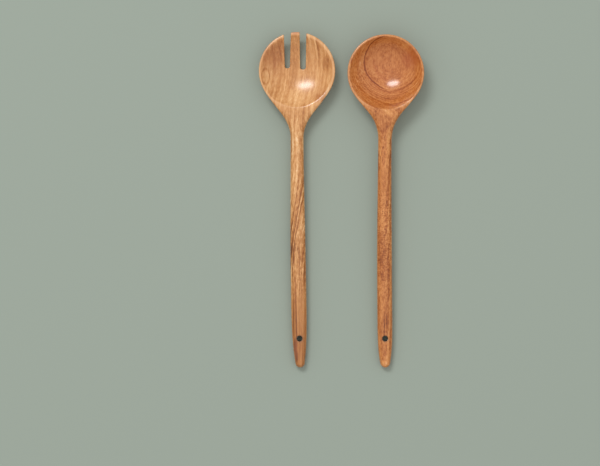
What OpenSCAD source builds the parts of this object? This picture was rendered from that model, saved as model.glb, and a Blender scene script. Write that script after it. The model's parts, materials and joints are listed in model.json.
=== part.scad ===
// Pair of wooden salad servers: a fork with two slots, and a spoon.
// Each one is carved from a single piece of wood, with a round head and a long handle.
// Millimetres, +Z up. The pair lies on z = 0, heads towards +Y, fork on the -X side.
// The origin is under the middle of the pair.

/* [Pair] */
// Distance between the centres of the two heads
head_spacing = 80.4; // [76:0.1:120]
// Radius of both heads, seen from above
head_r = 34.7; // [33.5:0.1:36]
// Width of the round on the outer edge of a rim
rim_edge = 1.1; // [0.6:0.1:1.5]
// Distance from a head's centre to the thinnest part of the neck
neck_at = 60.5; // [58:1:70]
// Distance from the end of a handle to the centre of its hanging hole
hole_inset = 26.7; // [20:0.1:40]
// Diameter of both hanging holes
hole_d = 5; // [4:0.1:6]

/* [Fork] */
// Overall length of the fork
fork_length = 305; // [290:0.5:320]
// Distance from the centre of the fork's head to the end of its middle prong
fork_front = 35.1; // [34:0.1:36]
// Height of the fork's rim over the table
fork_rim_z = 15.5; // [15:0.1:18]
// Depth of the fork's hollow below its rim
fork_depth = 10.8; // [9:0.1:11.5]
// Radius of the fork's hollow at the rim
fork_hollow_r = 32.4; // [31:0.1:33]
// Width of the fork's shoulder, halfway from head to neck
fork_shoulder_w = 33; // [28:0.1:36]
// Width of the fork's neck
fork_neck_w = 12; // [10:0.1:14]
// Width of the fork's handle where it is widest
fork_grip_w = 14.2; // [12:0.1:16]
// Sideways bend of the fork's handle at its end
fork_bend = 2.9; // [0:0.1:5]
// Width of the left slot where it ends inside the head
left_slot_base_w = 4.4; // [4.2:0.1:6]
// Width of the left slot at the front of the head
left_slot_front_w = 6.6; // [5:0.1:7]
// Width of the right slot where it ends inside the head
right_slot_base_w = 5; // [4.2:0.1:6]
// Width of the right slot at the front of the head
right_slot_front_w = 6.2; // [5:0.1:7]

/* [Spoon] */
// Overall length of the spoon
spoon_length = 302.5; // [290:0.5:320]
// Distance from the centre of the spoon's head to its front
spoon_front = 34.7; // [34:0.1:36]
// Height of the spoon's rim over the table
spoon_rim_z = 21.5; // [21:0.1:24]
// Depth of the spoon's hollow below its rim
spoon_depth = 17.5; // [15:0.1:18]
// Radius of the spoon's hollow at the rim
spoon_hollow_r = 32.8; // [31:0.1:33]
// Width of the spoon's shoulder, halfway from head to neck
spoon_shoulder_w = 30.6; // [28:0.1:36]
// Width of the spoon's neck
spoon_neck_w = 12.5; // [10:0.1:14]
// Width of the spoon's handle where it is widest
spoon_grip_w = 13.8; // [12:0.1:16]

/* [Hidden] */

// Both handles end on one line, which is as far behind the origin as the fork's front is ahead of it.
tip_y = -fork_length / 2;

// The flare from head to neck starts at the first distance from the head's centre, and is as steep
// as it gets at the second. The top of the neck leaves the level of the rim at the third.
flare_at = 17;
shoulder_at = 36;
crest_at = 31;
shoulder_slope = -0.82;
crest_slope = 0.14;
// The handle widens up to grip_at. Over its last end_taper it narrows by the share end_share.
grip_at = 182;
end_taper = 62;
end_share = 0.47;
// Length over which the end of a handle rounds off.
end_round = 3.5;
// Height of the top of a handle at its end, and where it rests on the table, measured from there.
end_top = 9.6;
rest_inset = 11;
// Share of the width that the flat on top of a section keeps where the handle is round.
least_flat = 0.04;

// Steps round each quarter of a section, and steps and distances between sections.
ARC = 14;
HEAD_STEPS = 15;
FLARE_STEP = 3;
HANDLE_STEP = 9;
END_STEPS = 8;

function mix(a, b, u) = a + (b - a) * u;
// A number from 0 to 1 that rises smoothly as v goes from a to b.
function ease(a, b, v) = let (u = min(1, max(0, (v - a) / (b - a)))) u * u * (3 - 2 * u);
// Height of a quarter circle of radius r, as a share of r, at distance d from its foot.
function round_off(d, r) = d >= r ? 1 : sqrt(max(0, 1 - pow(1 - d / r, 2)));
// A smooth curve at v, from value y0 and slope m0 at x0 to value y1 and slope m1 at x1.
function curve(x0, y0, m0, x1, y1, m1, v) = let (l = x1 - x0, u = (v - x0) / l)
    mix(y0, y1, u * u * (3 - 2 * u)) + l * u * (1 - u) * ((1 - u) * m0 - u * m1);

// One section across a server: a flat top whose sides round off over the width edge, above a half
// ellipse. Both meet at the height seat, where the section has the half width w.
function section(x, y, w, edge, seat, up, down) = concat(
    [for (i = [0:ARC]) let (a = 90 * i / ARC) [x + w - edge + edge * cos(a), y, seat + up * sin(a)]],
    [for (i = [ARC:2 * ARC]) let (a = 90 * i / ARC)
        [x - w + edge + edge * cos(a), y, seat + up * sin(a)]],
    [for (i = [2 * ARC + 1:4 * ARC - 1]) let (a = 90 * i / ARC)
        [x + w * cos(a), y, seat + down * sin(a)]]
);

// A closed skin through sections that all have n points, with a point at each end.
module skin(first, sections, last) {
    n = len(sections[0]);
    rings = len(sections);
    points = concat([first], [for (s = sections) each s], [last]);
    front = [for (j = [0:n - 1]) [0, 1 + j, 1 + (j + 1) % n]];
    walls = [for (i = [0:rings - 2]) for (j = [0:n - 1])
        let (a = 1 + i * n + j, b = 1 + i * n + (j + 1) % n) each [[a, b + n, b], [a, a + n, b + n]]];
    back = [for (j = [0:n - 1])
        [rings * n + 1, 1 + (rings - 1) * n + (j + 1) % n, 1 + (rings - 1) * n + j]];
    polyhedron(points, concat(front, walls, back));
}

// The outside of a server before its hollow, slots and hole are cut. The head's centre is over the
// origin, and s is the distance from there towards the end of the handle. front is the distance from
// there to the front, and rim, neck_top and neck_bottom are heights. shoulder, neck and grip are half
// widths. end_power says how late the end narrows, bend moves the end of the handle sideways, and
// bow moves its middle.
module blank(length, front, rim, shoulder, neck, grip, neck_top, neck_bottom, end_power, bend, bow) {
    end = length - front;
    seat = rim - rim_edge;
    flare_w = sqrt(head_r * head_r - flare_at * flare_at);
    flare_bottom = seat * (1 - flare_w / head_r);
    bottom_slope = seat * flare_at / head_r / flare_w;
    rest_slope = neck_bottom / (neck_at - end + rest_inset);
    top_slope = (end_top - neck_top) / (end - neck_at);

    function middle_x(s) = bend * pow(max(0, s) / end, 2.3) + bow * sin(180 * max(0, s) / end);
    function round_w(s) = head_r * sqrt(max(0, 1 - pow(s / (s < 0 ? front : head_r), 2)));
    function handle_w(s) = mix(neck, grip, ease(neck_at, grip_at, s))
        * (1 - end_share * pow(max(0, (s - end) / end_taper + 1), end_power))
        * round_off(end - s, end_round);
    function half_w(s) = s < flare_at ? round_w(s)
        : s < shoulder_at
        ? curve(flare_at, flare_w, -flare_at / flare_w, shoulder_at, shoulder, shoulder_slope, s)
        : s < neck_at ? curve(shoulder_at, shoulder, shoulder_slope, neck_at, neck, 0, s)
        : handle_w(s);
    function bottom_z(s) = s < flare_at ? seat * (1 - round_w(s) / head_r)
        : s < neck_at ? curve(flare_at, flare_bottom, bottom_slope, neck_at, neck_bottom, rest_slope, s)
        : max(0, neck_bottom + rest_slope * (s - neck_at));
    function top_z(s) = s < crest_at ? rim
        : s < neck_at ? curve(crest_at, rim, crest_slope, neck_at, neck_top, top_slope, s)
        : neck_top + top_slope * (s - neck_at);

    function ring(s) = let (
        w = half_w(s),
        roundness = ease(crest_at - 10, neck_at + 4, s),
        least_edge = (1 - least_flat) * w,
        open = s < 0 ? round_off(front + s, rim_edge) : round_off(end - s, end_round),
        up = mix(rim_edge, (top_z(s) - bottom_z(s)) / 2, roundness),
        middle_z = top_z(s) - up
    ) section(middle_x(s), -s, w, mix(min(rim_edge, least_edge), least_edge, roundness),
              middle_z, up * open, (middle_z - bottom_z(s)) * open);

    head = [for (i = [1:HEAD_STEPS]) -front * cos(90 * i / HEAD_STEPS)];
    flare = [for (s = [FLARE_STEP:FLARE_STEP:neck_at]) s];
    handle = [for (s = [neck_at + HANDLE_STEP:HANDLE_STEP:end - rest_inset - FLARE_STEP]) s];
    finish = [for (i = [0:END_STEPS - 1]) end - end_round * (1 - sin(90 * i / END_STEPS))];
    skin([0, front, seat], [for (s = concat(head, flare, handle, [end - rest_inset], finish)) ring(s)],
         [middle_x(end), -end, end_top / 2]);
}

// The hollow of a head: the part of a sphere below the rim, which it meets in a circle of radius r.
module hollow(rim, depth, r) {
    ball_r = (r * r + depth * depth) / (2 * depth);
    translate([0, 0, rim + ball_r - depth]) sphere(ball_r, $fn = 160);
}

// A slot from inside the head out through its front. It ends at the distance base ahead of the
// head's centre, with two rounded corners.
module slot(x, base, base_w, front_w) {
    reach = head_r + 3;
    corner = 1.7;
    side = base_w / 2 - corner;
    translate([x, 0, -1]) linear_extrude(40) polygon(concat(
        [[front_w / 2, reach], [-front_w / 2, reach]],
        [for (a = [180:15:270]) [corner * cos(a) - side, base + corner * (1 + sin(a))]],
        [for (a = [270:15:360]) [corner * cos(a) + side, base + corner * (1 + sin(a))]]
    ));
}

// The hanging hole, drilled straight down through a handle that ends at the distance end.
module hanging_hole(x, end) {
    translate([x, hole_inset - end, -1]) cylinder(h = 40, d = hole_d, $fn = 48);
}

module salad_fork() {
    color([0.80, 0.60, 0.41])
    translate([-head_spacing / 2, tip_y + fork_length - fork_front, 0])
    difference() {
        blank(fork_length, fork_front, fork_rim_z,
              fork_shoulder_w / 2, fork_neck_w / 2, fork_grip_w / 2,
              neck_top = 15.2, neck_bottom = 4.8, end_power = 3, bend = fork_bend, bow = 0);
        translate([-0.4, -0.3, 0]) hollow(fork_rim_z, fork_depth, fork_hollow_r);
        slot(-8.8, 2.9, left_slot_base_w, left_slot_front_w);
        slot(5.4, 1.9, right_slot_base_w, right_slot_front_w);
        hanging_hole(2.3, fork_length - fork_front);
    }
}

module salad_spoon() {
    color([0.73, 0.48, 0.33])
    translate([head_spacing / 2, tip_y + spoon_length - spoon_front, 0])
    difference() {
        blank(spoon_length, spoon_front, spoon_rim_z,
              spoon_shoulder_w / 2, spoon_neck_w / 2, spoon_grip_w / 2,
              neck_top = 19, neck_bottom = 8.2, end_power = 5, bend = 0, bow = -0.9);
        hollow(spoon_rim_z, spoon_depth, spoon_hollow_r);
        hanging_hole(-0.3, spoon_length - spoon_front);
    }
}

salad_fork();
salad_spoon();
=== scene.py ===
import json

import bpy
import numpy as np
from mathutils import Matrix, Vector


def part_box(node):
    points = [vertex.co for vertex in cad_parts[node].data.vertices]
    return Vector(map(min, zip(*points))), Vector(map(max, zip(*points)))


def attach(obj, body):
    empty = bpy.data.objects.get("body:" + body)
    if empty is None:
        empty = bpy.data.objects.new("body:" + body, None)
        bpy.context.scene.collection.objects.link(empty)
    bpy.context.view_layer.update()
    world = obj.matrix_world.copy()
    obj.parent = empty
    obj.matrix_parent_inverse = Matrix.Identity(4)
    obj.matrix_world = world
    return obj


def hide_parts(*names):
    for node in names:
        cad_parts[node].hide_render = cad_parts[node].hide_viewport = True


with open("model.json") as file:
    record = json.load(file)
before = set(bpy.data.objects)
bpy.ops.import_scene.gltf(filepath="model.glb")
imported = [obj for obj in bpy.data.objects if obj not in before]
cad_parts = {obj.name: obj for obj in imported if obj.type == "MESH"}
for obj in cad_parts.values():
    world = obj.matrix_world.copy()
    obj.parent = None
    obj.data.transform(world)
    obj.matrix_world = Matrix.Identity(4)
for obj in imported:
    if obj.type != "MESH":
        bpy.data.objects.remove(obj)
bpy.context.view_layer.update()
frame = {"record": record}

# Lengths in the shape functions are in millimetres, and everything that reaches Blender is in metres.
MM = 0.001


# ---------------------------------------------------------------- camera

# The pair is seen from straight above, from far enough that the view is nearly parallel. The view is
# this wide at the height given, which is near that of the rims.
VIEW_WIDTH = 0.544
VIEW_HEIGHT = 0.016
VIEW_CENTRE = (-0.0375, -0.0298)
LENS = 150
SENSOR = 36


def add_camera():
    """A camera that looks straight down."""
    data = bpy.data.cameras.new("camera")
    data.lens = LENS
    data.sensor_width = SENSOR
    camera = bpy.data.objects.new("camera", data)
    bpy.context.collection.objects.link(camera)
    height = VIEW_WIDTH * LENS / SENSOR + VIEW_HEIGHT
    camera.location = (*VIEW_CENTRE, height)
    data.clip_end = 10 * height
    bpy.context.scene.camera = camera


# ---------------------------------------------------------------- shape of a server

# The outside of a head is round, and its rim has this edge round. Distances s run from the centre
# of the head towards the end of the handle, as in the CAD model.
RIM_EDGE = 1.1
FLARE_AT = 17
SHOULDER_AT = 36
SHOULDER_SLOPE = -0.82
CREST_AT = 31
CREST_SLOPE = 0.14
NECK_AT = 60.5
GRIP_AT = 182
END_TAPER = 62
END_SHARE = 0.47
END_ROUND = 3.5
END_TOP = 9.6
REST_INSET = 11
BEND_POWER = 2.3

# Sanded edges: the inner edge of the rim, the edges of the slots, and those of the hanging hole.
RIM_ROUND = 0.55
SLOT_ROUND = 0.5
SLOT_CORNER = 1.7
HOLE_ROUND = 0.4

# Size of a mesh cell, and cells left free before the wood begins. How far the field is sampled for its
# slope, and how often the mesh is relaxed.
CELL = 0.55
MARGIN = 2.6
PROBE = 0.01
RELAX_STEPS = 3


def mix(a, b, u):
    return a + (b - a) * u


def ease(a, b, v):
    """From 0 to 1, smoothly, as v goes from a to b."""
    u = np.clip((v - a) / (b - a), 0, 1)
    return u * u * (3 - 2 * u)


def curve(x0, y0, m0, x1, y1, m1, v):
    """A smooth curve at v, from value y0 and slope m0 at x0 to value y1 and slope m1 at x1."""
    length = x1 - x0
    u = (v - x0) / length
    bulge = u * (1 - u) * ((1 - u) * m0 - u * m1)
    return mix(y0, y1, u * u * (3 - 2 * u)) + length * bulge


def both(a, b, r):
    """The solid that is inside both a and b, given as distances, with its edges rounded to radius r."""
    return np.minimum(-r, np.maximum(a, b)) + np.hypot(np.maximum(a + r, 0), np.maximum(b + r, 0))


class Server:
    """One server as a field: negative in the wood, zero on its surface. Places come from the frame."""

    def __init__(self, node, front, rim, depth, hollow_r, hollow_shift, shoulder, neck, grip,
                 neck_top, neck_bottom, end_power, bend, bow, slots):
        low, high = (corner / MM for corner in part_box(node))
        self.low, self.high = np.array(low), np.array(high)
        self.head_r = (high.x - low.x) / 2
        self.x = (high.x + low.x) / 2
        self.y = high.y - front
        self.front = front
        self.end = self.y - low.y
        self.rim = rim
        self.seat = rim - RIM_EDGE
        self.ball_r = (hollow_r ** 2 + depth ** 2) / (2 * depth)
        self.ball = (self.x + hollow_shift[0], self.y + hollow_shift[1], rim + self.ball_r - depth)
        self.shoulder, self.neck, self.grip = shoulder, neck, grip
        self.neck_top, self.neck_bottom = neck_top, neck_bottom
        self.end_power, self.bend, self.bow = end_power, bend, bow
        self.slots = slots
        mount = next(m for m in frame["record"]["mounts"] if m["name"].startswith(node.split("_")[1]))
        self.hole = [v / MM for v in mount["pos_m"][:2]]
        self.hole_r = mount["dims"]["r_mm"]

    def half_width(self, s):
        flare_w = np.sqrt(self.head_r ** 2 - FLARE_AT ** 2)
        circle = np.sqrt(np.maximum(self.head_r ** 2 - np.clip(s, 0, FLARE_AT) ** 2, 0))
        upper = curve(FLARE_AT, flare_w, -FLARE_AT / flare_w, SHOULDER_AT, self.shoulder, SHOULDER_SLOPE, s)
        lower = curve(SHOULDER_AT, self.shoulder, SHOULDER_SLOPE, NECK_AT, self.neck, 0, s)
        taper = np.maximum(0, (s - self.end) / END_TAPER + 1) ** self.end_power
        handle = mix(self.neck, self.grip, ease(NECK_AT, GRIP_AT, s)) * (1 - END_SHARE * taper)
        return np.select([s < FLARE_AT, s < SHOULDER_AT, s < NECK_AT], [circle, upper, lower], handle)

    def bottom(self, s):
        flare_w = np.sqrt(self.head_r ** 2 - FLARE_AT ** 2)
        bowl = self.seat * (1 - np.sqrt(1 - (np.clip(s, 0, FLARE_AT) / self.head_r) ** 2))
        start = self.seat * (1 - flare_w / self.head_r)
        slope = self.seat * FLARE_AT / self.head_r / flare_w
        fall = self.neck_bottom / (NECK_AT - self.end + REST_INSET)
        flare = curve(FLARE_AT, start, slope, NECK_AT, self.neck_bottom, fall, s)
        handle = np.maximum(0, self.neck_bottom + fall * (s - NECK_AT))
        return np.select([s < FLARE_AT, s < NECK_AT], [bowl, flare], handle)

    def top(self, s):
        fall = (END_TOP - self.neck_top) / (self.end - NECK_AT)
        crest = curve(CREST_AT, self.rim, CREST_SLOPE, NECK_AT, self.neck_top, fall, s)
        handle = self.neck_top + fall * (s - NECK_AT)
        return np.select([s < CREST_AT, s < NECK_AT], [np.full_like(s, self.rim), crest], handle)

    def middle(self, s):
        share = np.maximum(s, 0) / self.end
        return self.bend * share ** BEND_POWER + self.bow * np.sin(np.pi * share)

    def outside(self, x, y, z):
        """A field that is zero on the outside of the server, before anything is cut from it."""
        s = self.y - y
        ahead = s < 0
        w = self.half_width(s)
        sideways = np.abs(x - self.x - self.middle(s))
        sideways = np.where(ahead, np.hypot(sideways, s * self.head_r / self.front), sideways)
        roundness = ease(CREST_AT - 10, NECK_AT + 4, s)
        edge = mix(RIM_EDGE, w, roundness)
        top, bottom = self.top(s), self.bottom(s)
        up = mix(RIM_EDGE, (top - bottom) / 2, roundness)
        height = z - (top - up)
        above = np.hypot(np.maximum(0, sideways - w + edge) / edge, height / up)
        below = np.hypot(sideways / w, height / (top - up - bottom))
        end = np.maximum(0, 1 - (self.end - s) / END_ROUND)
        return (np.hypot(np.where(height > 0, above, below), end) - 1) * np.minimum(w, top - bottom)

    def blank(self, x, y, z):
        """The outside as a distance, close to its surface."""
        here = self.outside(x, y, z)
        slope = [self.outside(*p) - here for p in ((x + PROBE, y, z), (x, y + PROBE, z), (x, y, z + PROBE))]
        steep = np.sqrt(sum(d * d for d in slope)) / PROBE
        return here / np.maximum(steep, 0.15)

    def field(self, x, y, z):
        wood = self.blank(x, y, z)
        bx, by, bz = self.ball
        wood = both(wood, self.ball_r - np.sqrt((x - bx) ** 2 + (y - by) ** 2 + (z - bz) ** 2), RIM_ROUND)
        for offset, base, base_w, front_w in self.slots:
            ahead = y - self.y - base
            half = mix(base_w, front_w, ahead / (self.head_r + 3 - base)) / 2
            gap = both(np.abs(x - self.x - offset) - half, -ahead, SLOT_CORNER)
            wood = both(wood, -gap, SLOT_ROUND)
        return both(wood, self.hole_r - np.hypot(x - self.hole[0], y - self.hole[1]), HOLE_ROUND)


def surface_net(values, low):
    """Points and quads on the zero level of values, one point in each cell that the level crosses."""
    inside = values < 0
    size = np.array(values.shape) - 1
    corners = np.array([(i, j, k) for i in (0, 1) for j in (0, 1) for k in (0, 1)])
    found = [inside[i:i + size[0], j:j + size[1], k:k + size[2]] for i, j, k in corners]
    crossed = np.any(found, axis=0) & ~np.all(found, axis=0)
    cells = np.argwhere(crossed)
    total, count = np.zeros((len(cells), 3)), np.zeros(len(cells))
    for start in corners:
        for axis in np.flatnonzero(start == 0):
            step = np.eye(3, dtype=int)[axis]
            a, b = (values[tuple((cells + c).T)] for c in (start, start + step))
            cut = (a < 0) != (b < 0)
            share = a[cut] / (a[cut] - b[cut])
            total[cut] += start + share[:, None] * step
            count += cut
    points = low + CELL * (cells + total / count[:, None])
    number = np.full(size, -1)
    number[crossed] = np.arange(len(cells))
    quads = []
    for axis in range(3):
        step, across, along = np.roll(np.eye(3, dtype=int), -axis, axis=0)
        tail = [slice(None)] * 3
        head = [slice(None)] * 3
        tail[axis], head[axis] = slice(None, -1), slice(1, None)
        edges = np.argwhere(inside[tuple(tail)] != inside[tuple(head)])
        quad = np.stack([number[tuple((edges - back).T)] for back in
                         (0 * step, across, across + along, along)], axis=1)
        leaving = inside[tuple(edges.T)]
        quads.append(np.where(leaving[:, None], quad, quad[:, ::-1]))
    return points, np.concatenate(quads)


def slope_of(field, points):
    """The field's value and slope at each point."""
    x, y, z = points.T
    steps = ((PROBE, 0, 0), (0, PROBE, 0), (0, 0, PROBE))
    slope = [(field(x + i, y + j, z + k) - field(x - i, y - j, z - k)) / (2 * PROBE) for i, j, k in steps]
    return field(x, y, z), np.stack(slope, axis=1)


def relax(field, points, quads):
    """Evens out the points over the surface, then puts them back on it."""
    for step in range(RELAX_STEPS):
        total, count = np.zeros_like(points), np.zeros(len(points))
        for side in range(4):
            near, far = quads[:, side], quads[:, (side + 1) % 4]
            for here, there in ((near, far), (far, near)):
                count += np.bincount(here, minlength=len(points))
                for axis in range(3):
                    total[:, axis] += np.bincount(here, points[there, axis], len(points))
        points = mix(points, total / count[:, None], 0.6)
        for repeat in range(2):
            value, slope = slope_of(field, points)
            move = (value / np.maximum((slope ** 2).sum(1), 0.25))[:, None] * slope
            points = points - np.clip(move, -CELL / 2, CELL / 2)
    return points


def carve(server, name, body, node):
    """The server as a smooth mesh that stands for its CAD node."""
    low = server.low - MARGIN * CELL
    axes = [np.arange(a, b + 3 * CELL, CELL) for a, b in zip(low, server.high)]
    values = server.field(*np.meshgrid(*axes, indexing="ij"))
    points, quads = surface_net(values, low)
    points = relax(server.field, points, quads)
    mesh = bpy.data.meshes.new(name)
    mesh.from_pydata(points * MM, [], quads)
    mesh.shade_smooth()
    mesh.update()
    piece = bpy.data.objects.new(name, mesh)
    bpy.context.collection.objects.link(piece)
    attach(piece, body)
    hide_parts(node)
    return piece


# ---------------------------------------------------------------- wood

def paint(code):
    """A colour as a shader takes it, from its hex code."""
    parts = [int(code[i:i + 2], 16) / 255 for i in (0, 2, 4)]
    return (*(c / 12.92 if c < 0.04 else ((c + 0.055) / 1.055) ** 2.4 for c in parts), 1)


class Value:
    """A number or colour that varies over a surface. Arithmetic on these makes shader nodes."""

    def __init__(self, tree, socket):
        self.tree, self.socket = tree, socket

    def node(self, kind, inputs, output=0, **settings):
        """A new shader node, fed with these inputs, as its output of the number given."""
        made = self.tree.nodes.new("ShaderNode" + kind)
        for name, setting in settings.items():
            setattr(made, name, setting)
        for name, value in inputs.items():
            if isinstance(value, Value):
                self.tree.links.new(value.socket, made.inputs[name])
            else:
                made.inputs[name].default_value = value
        return Value(self.tree, made.outputs[output])

    def math(self, operation, other=0):
        """A Math node on this value and the other. MAXIMUM alone cuts off what is below zero."""
        return self.node("Math", {0: self, 1: other}, operation=operation)

    def __add__(self, other):
        return self.math("ADD", other)

    def __sub__(self, other):
        return self.math("SUBTRACT", other)

    def __mul__(self, other):
        return self.math("MULTIPLY", other)

    def __truediv__(self, other):
        return self.math("DIVIDE", other)

    def size(self):
        return self.math("ABSOLUTE")

    def step(self, start, end):
        """From 0 to 1, smoothly, as the value goes from start to end."""
        return self.node("MapRange", {"Value": self, "From Min": start, "From Max": end},
                         interpolation_type="SMOOTHSTEP")

    def within(self, low, high, soft):
        """1 from low to high, and 0 beyond, over the distance soft."""
        return self.step(low - soft, low + soft) * self.step(high + soft, high - soft)

    def line(self, place, half_width):
        """1 at the place, falling to 0 at the half width from it."""
        return (self - place).size().step(half_width, 0)

    def noise(self, v, w, detail, roughness=0.5):
        """Noise from -1 to 1 whose cells are one unit long in this value, in v and in w."""
        place = self.node("CombineXYZ", {0: self, 1: v, 2: w})
        raw = self.node("TexNoise", {"Vector": place, "Scale": 1.0, "Detail": detail,
                                     "Roughness": roughness})
        return (raw - 0.5) * 2

    def blend(self, other, share):
        """This colour with the given share of the other."""
        return self.node("Mix", {0: share, 6: self, 7: other}, output=2, data_type="RGBA")

    def ramp(self, stops):
        """A colour from this number, through evenly spaced stops from 0 to 1."""
        made = self.node("ValToRGB", {0: self})
        elements = made.socket.node.color_ramp.elements
        for i, code in enumerate(stops):
            at = i / (len(stops) - 1)
            element = elements[i] if i < 2 else elements.new(at)
            element.position, element.color = at, paint(code)
        return made


class Wood:
    """A material with the places it needs: x across, s towards the handle's end and z up, in mm."""

    def __init__(self, name, server):
        self.material = bpy.data.materials.new(name)
        self.material.use_nodes = True
        self.tree = tree = self.material.node_tree
        self.shader = tree.nodes["Principled BSDF"]
        place = Value(tree, tree.nodes.new("ShaderNodeTexCoord").outputs["Object"])
        axes = place.node("SeparateXYZ", {0: place}).socket.node.outputs
        x, y, z = (Value(tree, axis) for axis in axes)
        self.x = x / MM - server.x
        self.s = y / -MM + server.y
        self.z = z / MM
        self.middle = ((self.s.math("MAXIMUM") / server.end).math("POWER", BEND_POWER) * server.bend
                       + (self.s.math("MAXIMUM") * (np.pi / server.end)).math("SINE") * server.bow)
        bx, by, bz = server.ball
        to_ball = ((self.x - (bx - server.x)).math("POWER", 2) + (self.s + (by - server.y)).math("POWER", 2)
                   + (self.z - bz).math("POWER", 2)).math("SQRT")
        self.rim = self.z.step(server.rim - 1, server.rim) * self.s.step(34, 26) * to_ball.step(
            server.ball_r + 0.15, server.ball_r + 0.6)
        self.hollow = to_ball.step(server.ball_r + 0.3, server.ball_r) * self.s.step(36, 34)
        hole_x, hole_s = server.hole[0] - server.x, server.y - server.hole[1]
        to_hole = ((self.x - hole_x).math("POWER", 2) + (self.s - hole_s).math("POWER", 2)).math("SQRT")
        # Masks for painting shade into the hanging hole: its wall with its sanded edge, and a ring of wood
        # round it.
        self.hole = to_hole.step(server.hole_r + 0.45, server.hole_r - 0.05)
        self.painted_shade_by_hole = to_hole.step(server.hole_r + 2.2, server.hole_r)

    def oval(self, x, s, half_x, half_s):
        """0 in the middle of an oval on the wood, 1 on its outline, and more beyond it."""
        across, along = (self.x - x) / half_x, (self.s - s) / half_s
        return (across.math("POWER", 2) + along.math("POWER", 2)).math("SQRT")

    def patch(self, x, s, half_x, half_s):
        """1 in the middle of an oval on the wood, and 0 outside it."""
        return self.oval(x, s, half_x, half_s).step(1, 0.2)

    def patches(self, *marks):
        """The sum of several patches, each with its strength last."""
        total = 0
        for *place, strength in marks:
            total = self.patch(*place) * strength + total
        return total

    def streaks(self, half_width, soft, *marks):
        """Streaks along the handle. Each has its distance from the middle of the handle, the places
        where it starts and ends, and its strength."""
        total = 0
        for place, start, end, strength in marks:
            line = (self.x - self.middle).line(place, half_width)
            total = line * self.s.within(start, end, soft) * strength + total
        return total

    def finish(self, colour, height, roughness, specular, coat, coat_roughness):
        """Connects what varies over the surface, and sets what doesn't on the shader itself."""
        link = self.tree.links.new
        bump = height.node("Bump", {"Strength": 0.35, "Distance": 0.0001, "Height": height})
        link(colour.socket, self.shader.inputs["Base Color"])
        link(roughness.socket, self.shader.inputs["Roughness"])
        link(bump.socket, self.shader.inputs["Normal"])
        self.shader.inputs["Specular IOR Level"].default_value = specular
        self.shader.inputs["Coat Weight"].default_value = coat
        self.shader.inputs["Coat Roughness"].default_value = coat_roughness
        self.shader.inputs["IOR"].default_value = 1.46
        return self.material


def fork_wood(server):
    """Honey-coloured wood whose layers stand upright, so that they show as long stripes."""
    wood = Wood("fork_wood", server)
    x, s, z = wood.x, wood.s, wood.z
    # The layers lean over in the bowl and along the upper handle, and run straight below that.
    layer = x + z * 0.35 + s.step(-15, 45) * 4 + s.step(75, 190) * 14
    layer = layer + (s / 45).noise(z / 30, x / 60, 1) * 1.6 + (s / 9).noise(z / 20, x / 12, 1) * 0.25

    broad = (layer / 11).noise(s / 110, z / 20, 1)
    stripes = (layer / 2.6).noise(s / 110, z / 14, 2)
    fibres = (layer / 0.9).noise(s / 26, z / 6, 3, 0.6)
    speckle = (layer / 1.5).noise(s / 4, z / 2, 2, 0.6)
    fine = (layer / 0.25).noise(s / 6, z / 2, 3, 0.6)
    pores = (layer / 0.5).noise(s / 3.6, z / 1.6, 1).step(0.3, 0.55)
    pores = pores * (layer / 5).noise(s / 16, z / 9, 1).step(-0.3, 0.4)
    handle = s.step(30, 62)
    drawn = s.within(60, 100, 10) * 1.3 + s.within(142, 188, 12) * 2.4 - s.within(198, 240, 8)

    # How light the wood is, from 0 to 1, with painted shade and painted light in the bowl.
    tone = broad * 0.16 + stripes * (handle * 0.14 + 0.28) + fine * 0.2 + 0.53
    tone = tone + fibres * (handle * 0.2 + drawn * 0.16 + 0.18)
    tone = tone + speckle * (handle * 0.22 + 0.22) * s.within(-40, 205, 20)
    tone = tone + handle * 0.03 - s.step(95, 165) * 0.13 - s.step(180, 262) * 0.12 + wood.rim * 0.1
    # Painted shade on the upper left of the bowl, and painted light on its lower part and on its left.
    tone = tone + wood.patches((-22, -18, 18, 18, -0.14), (-2, 24, 24, 15, 0.14), (-24, 8, 13, 16, 0.1))

    # Dark layers in the head and in the upper handle, and the eye on the left of the bowl.
    dark = layer.line(23.2, 1.5) * s.within(-27, -4, 5) * 0.6
    for place, strength in ((17.3, 0.7), (15.2, 0.6), (11.4, 0.4)):
        dark = dark + layer.line(place, 1) * s.within(96, 182, 14) * strength
    dark = dark + wood.oval(-28.6, 5, 3.6, 7).line(1, 0.3) * 0.45
    # Dark places on the right of the bowl and on the middle prong, then down the handle.
    dark = dark + wood.patches((27.5, -7, 6, 11, 0.5), (20, 25, 9, 6, 0.4), (-1.7, -14, 5, 24, 0.22),
                               (-4.7, 163, 1.8, 8, 0.9), (-1.7, 250, 2, 9, 0.8), (-0.3, 259, 1.8, 8, 0.65))
    dark = dark + wood.streaks(1.2, 9, (-5.2, 186, 240, 0.4), (-2.6, 190, 246, 0.7), (0.8, 150, 205, 0.4))
    tone = tone - dark * 0.45 - pores * 0.27

    colour = tone.ramp(("733c10", "a86528", "ce8e50", "edb77b", "ffdcae"))
    red = (layer / 6).noise(s / 60, z / 12, 1).step(0.1, 0.7) * 0.25
    # The patch on the upper left of the bowl makes its painted shade there redder; the other patches are
    # the wood's own colour.
    red = red + wood.patches((-1.4, 254, 3, 15, 0.9), (-24, -14, 18, 24, 0.5), (22, 22, 10, 9, 0.4))
    colour = colour.blend(paint("ad623a"), red * 0.55)
    colour = colour.blend(paint("e5ae7c"), wood.rim * 0.4)
    colour = colour.blend(paint("cd8458"), wood.patch(-1.7, -34.6, 9, 2.6) * 0.7)
    # Painted shade: the wood round the hanging hole is darker, and the hole's wall is near black.
    colour = colour.blend(paint("5a3a24"), wood.painted_shade_by_hole * 0.35).blend(paint("2a1c14"), wood.hole)
    height = fibres * 0.4 + fine * 0.5 - pores * 0.8
    roughness = fibres * 0.04 + speckle * 0.05 + pores * 0.2 + wood.rim * 0.05 + 0.26
    return wood.finish(colour, height, roughness, specular=0.45, coat=0.85, coat_roughness=0.2)


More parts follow.
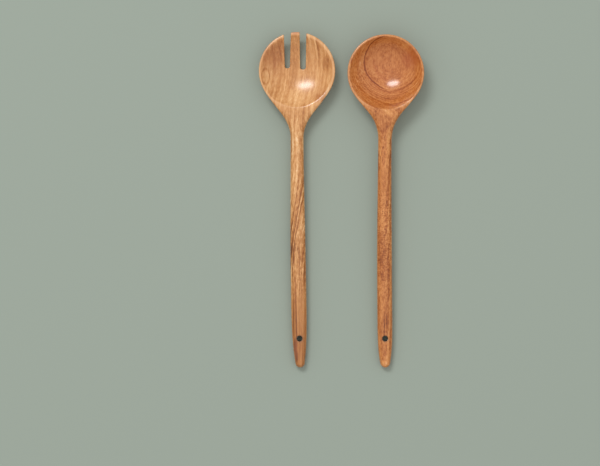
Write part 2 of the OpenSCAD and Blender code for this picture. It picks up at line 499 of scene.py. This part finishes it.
def spoon_wood(server):
    """Reddish wood whose layers lie flat, so that the bowl cuts them in arcs."""
    wood = Wood("spoon_wood", server)
    x, s, z = wood.x, wood.s, wood.z
    # The layers rise towards the handle, up to the neck, and then lie level along it.
    rise = s.node("Math", {0: s, 1: 42, 2: 34}, operation="SMOOTH_MIN") * 0.33
    layer = z - x * 0.2 + rise
    layer = layer + (s / 22).noise(x / 14, z / 18, 1) * 0.9 + (s / 5).noise(x / 4, z / 5, 2) * 0.45

    broad = (layer / 5).noise(x / 40, s / 70, 1)
    rings = (layer / 1.2).noise(x / 26, s / 60, 2)
    fibres = (x / 0.9 + layer / 1.4).noise(s / 18, layer / 0.9, 3, 0.6)
    speckle = (x / 1.5 + layer / 2).noise(s / 3, layer / 1.2, 2, 0.6)
    fine = (x / 0.25).noise(s / 5, layer / 0.3, 3, 0.6)
    pores = (x / 0.5).noise(s / 3.2, layer / 0.6, 1).step(0.3, 0.54)
    pores = pores * (x / 9).noise(s / 18, layer / 3, 1).step(-0.35, 0.35)
    curl = (x / 1.2).noise(s / 1.3, z / 2, 1) * s.within(106, 200, 14)
    cloud = (x / 5).noise(s / 9, layer / 3, 2, 0.6)
    dashes = (x / 0.9).noise(s / 6, 0, 1).step(0.15, 0.5) * s.within(58, 84, 8)
    handle = s.step(30, 62)

    # How light the wood is, from 0 to 1, with painted light and shade in the bowl and a painted highlight
    # on the neck.
    tone = broad * 0.2 + rings * (s.step(-4, 16) * 0.34 + 0.14) + fine * 0.2 + 0.5
    tone = tone + fibres * (handle * -0.1 + 0.3) + curl * 0.34 + cloud * (handle * -0.08 + 0.24)
    tone = tone + speckle * (handle * 0.12 + wood.patch(-26, 2, 13, 28) * 0.3 + 0.32) + wood.rim * 0.06
    tone = tone + s.step(44, 56) * 0.02 - s.step(52, 80) * 0.11 + s.step(110, 150) * 0.04
    # The handle darkens a little towards its end, and the side walls of the bowl get painted light.
    tone = tone - s.step(180, 220) * 0.02 + wood.hollow * x.size().step(12, 26) * 0.06
    # A painted highlight on the crest of the neck, a lighter end of the handle, and painted shade on the
    # upper left wall and on the front wall of the bowl.
    tone = tone + wood.patches((0, 36, 9, 6, 0.2), (0, 268, 6, 16, 0.1), (-26, -16, 6, 11, -0.1),
                               (0, -27, 20, 10, -0.06))
    # Two stretches of the handle are calmer than the rest.
    calm = s.within(86, 108, 8) * 0.4 + s.within(170, 240, 12) * 0.2
    tone = (tone - 0.5) * (calm * -1 + 1) + 0.5

    # The dark growth ring, strongest on its left, and a knot on it. Then fainter rings near the neck.
    dark = layer.line(11.1, 0.48) * wood.hollow * (x.step(3, -5) * 1.4 + x.step(10, 20) * 0.45 + 0.05)
    dark = dark + wood.patch(-7.2, 5.3, 1, 1.7) * 0.7
    for place, strength in ((13.9, 0.35), (15.4, 0.45), (18.2, 0.5)):
        dark = dark + layer.line(place, 0.5) * wood.hollow * s.step(-4, 10) * strength
    dark = dark + wood.streaks(0.9, 8, (3.2, 156, 198, 0.45), (4.6, 168, 192, 0.3), (-0.7, 218, 240, 0.6),
                               (1.4, 222, 240, 0.35))
    tone = tone - dark * 0.54 - pores * 0.27 - dashes * 0.5

    colour = tone.ramp(("74340c", "a3571b", "c97e40", "e09a58", "f3bb88"))
    red = (layer / 4).noise(x / 30, s / 50, 1).step(0, 0.6) * 0.3 + wood.patch(23, -13, 12, 13)
    colour = colour.blend(paint("ab4f24"), red * 0.45 + wood.hollow * 0.2)
    # The rim is painted paler all round, and more on its left: a painted highlight on the side the lamp is
    # on.
    colour = colour.blend(paint("d39a70"), wood.rim * (x.step(16, -24) * 0.25 + 0.12))
    # Painted shade: the wood round the hanging hole is darker, and the hole's wall is near black.
    colour = colour.blend(paint("4a2a1a"), wood.painted_shade_by_hole * 0.35).blend(paint("1e140f"), wood.hole)
    height = fibres * 0.4 + fine * 0.5 - pores * 0.8
    roughness = fibres * 0.03 + rings * 0.02 + pores * 0.15 + wood.rim * 0.05 + 0.22
    return wood.finish(colour, height, roughness, specular=0.2, coat=1, coat_roughness=0.17)


# ---------------------------------------------------------------- floor and light

FLOOR_SIZE = 6
FLOOR_COLOUR = "9ea99f"

# The lamp: the direction that it shines from, what it points at, how far off it is, its size across
# and upwards, and its power.
LAMP_FROM = (-0.295, 0.505, 0.82)
LAMP_TARGET = (0, 0.03, 0)
LAMP_DISTANCE = 4
LAMP_SIZE = (2.0, 0.86)
LAMP_WATTS = 58

# Colour of the surroundings, and their brightness overhead and at the horizon.
SKY_COLOUR = (1, 0.98, 0.95, 1)
OVERHEAD = 0.94
HORIZON = 0.28


def add_floor():
    """A plain, matt floor."""
    bpy.ops.mesh.primitive_plane_add(size=FLOOR_SIZE)
    floor = bpy.context.object
    floor.name = "floor"
    material = bpy.data.materials.new("floor")
    material.use_nodes = True
    shader = material.node_tree.nodes["Principled BSDF"]
    shader.inputs["Base Color"].default_value = paint(FLOOR_COLOUR)
    shader.inputs["Roughness"].default_value = 1
    shader.inputs["Specular IOR Level"].default_value = 0
    floor.data.materials.append(material)


def add_lights():
    """One broad lamp behind the heads on the left, and soft light from all round, brightest overhead."""
    direction = Vector(LAMP_FROM).normalized()
    data = bpy.data.lights.new("key", "AREA")
    data.shape = "ELLIPSE"
    data.size, data.size_y = LAMP_SIZE
    data.energy = LAMP_WATTS
    lamp = bpy.data.objects.new("key", data)
    bpy.context.collection.objects.link(lamp)
    lamp.location = Vector(LAMP_TARGET) + direction * LAMP_DISTANCE
    across = (Vector((1, 0, 0)) - direction * direction.x).normalized()
    lamp.rotation_euler = Matrix((across, direction.cross(across), direction)).transposed().to_euler()

    world = bpy.data.worlds.new("world")
    world.use_nodes = True
    tree = world.node_tree
    up = Value(tree, tree.nodes.new("ShaderNodeTexCoord").outputs["Generated"])
    up = up.node("SeparateXYZ", {0: up}, output=2).math("MAXIMUM")
    sky = tree.nodes["Background"].inputs
    sky["Color"].default_value = SKY_COLOUR
    tree.links.new((up * (OVERHEAD - HORIZON) + HORIZON).socket, sky["Strength"])
    bpy.context.scene.world = world
    bpy.context.scene.view_settings.view_transform = "Standard"


add_camera()
fork = Server("salad_fork", front=35.1, rim=15.5, depth=10.8, hollow_r=32.4, hollow_shift=(-0.4, -0.3),
              shoulder=16.5, neck=6, grip=7.1, neck_top=15.2, neck_bottom=4.8, end_power=3, bend=2.9,
              bow=0, slots=((-8.8, 2.9, 4.4, 6.6), (5.4, 1.9, 5, 6.2)))
spoon = Server("salad_spoon", front=34.7, rim=21.5, depth=17.5, hollow_r=32.8, hollow_shift=(0, 0),
               shoulder=15.3, neck=6.25, grip=6.9, neck_top=19, neck_bottom=8.2, end_power=5, bend=0,
               bow=-0.9, slots=())
for server, name, node, make_wood in (
    (fork, "carved_fork", "salad_fork", fork_wood),
    (spoon, "carved_spoon", "salad_spoon", spoon_wood),
):
    piece = carve(server, name, node, node)
    piece.data.materials.append(make_wood(server))
add_floor()
add_lights()
